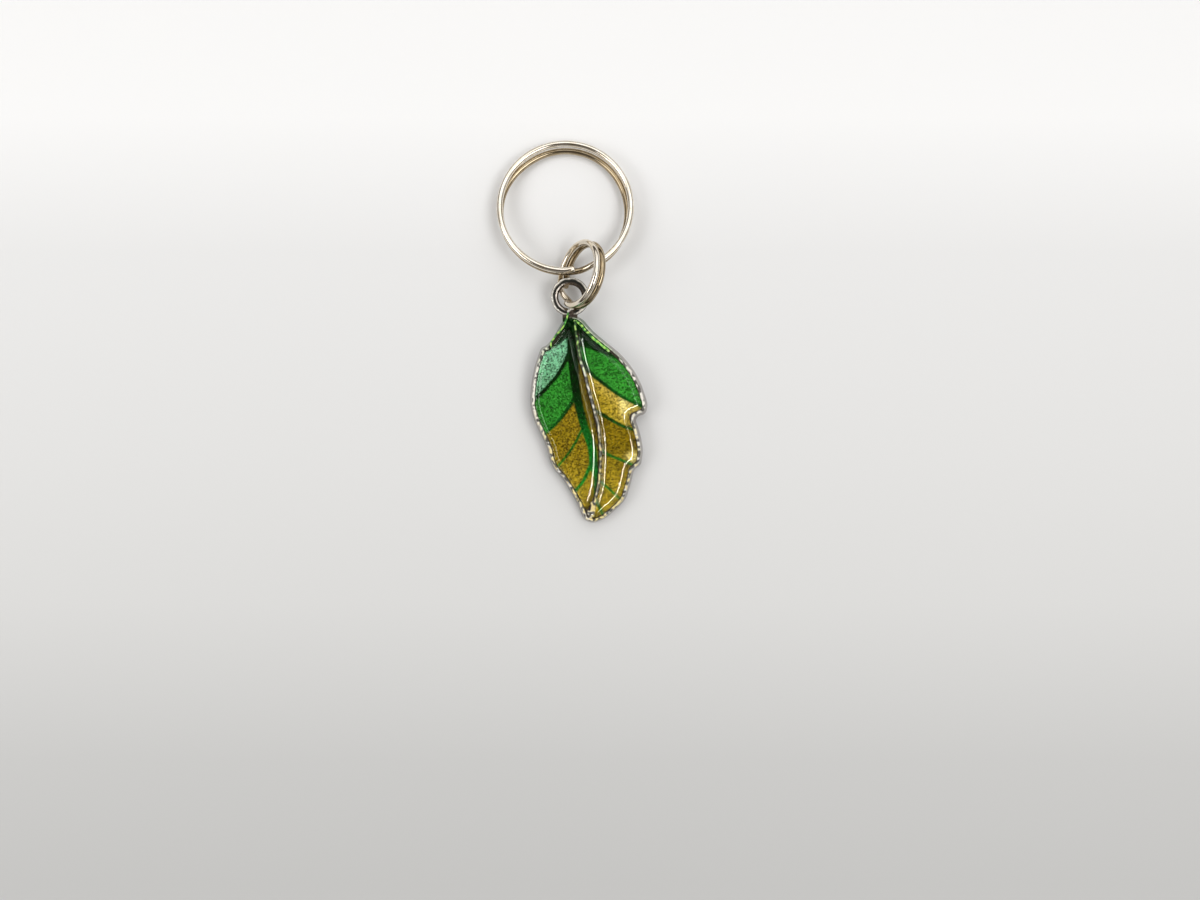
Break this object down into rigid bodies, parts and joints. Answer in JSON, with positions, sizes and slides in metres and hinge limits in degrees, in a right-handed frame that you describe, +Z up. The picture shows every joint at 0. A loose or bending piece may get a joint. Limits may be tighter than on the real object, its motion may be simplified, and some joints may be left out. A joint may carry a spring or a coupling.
{
  "type": "stitch marker",
  "caption": "Split-ring stitch marker for knitting needles with a small linking ring and a resin-domed leaf charm.",
  "frame": {"origin": "centre of the needle ring, halfway between its two turns", "axes": "+Z up from the table that the marker lies on, +Y from the leaf's tip towards the needle ring, +X to the right"},
  "size_m": [0.0154, 0.0393, 0.0064],
  "materials": {
    "ring_wire": "warm nickel-plated wire, polished",
    "casting": "gunmetal-plated die casting, polished",
    "print_left": "glitter print in mint, green and gold",
    "print_right": "glitter print in green and gold",
    "resin": "clear glossy resin"
  },
  "bodies": {
    "needle_ring": {"needle_ring": "ring_wire"},
    "link_ring": {"link_ring": "ring_wire"},
    "charm": {"leaf_casting": "casting", "print_left": "print_left", "print_right": "print_right", "dome_left": "resin", "dome_right": "resin"}
  },
  "joints": [
    {"name": "link_swing", "type": "hinge", "parent": "needle_ring", "child": "link_ring", "pos_m": [0.00036, -0.00636, 0.00071], "axis": [0.9984, 0.0559, -0.0062], "range_deg": [-90, 90]},
    {"name": "charm_swing", "type": "hinge", "parent": "link_ring", "child": "charm", "pos_m": [0.0005, -0.00954, 0.00081], "axis": [0.4382, -0.5038, 0.7444], "range_deg": [-60, 60]}
  ]
}
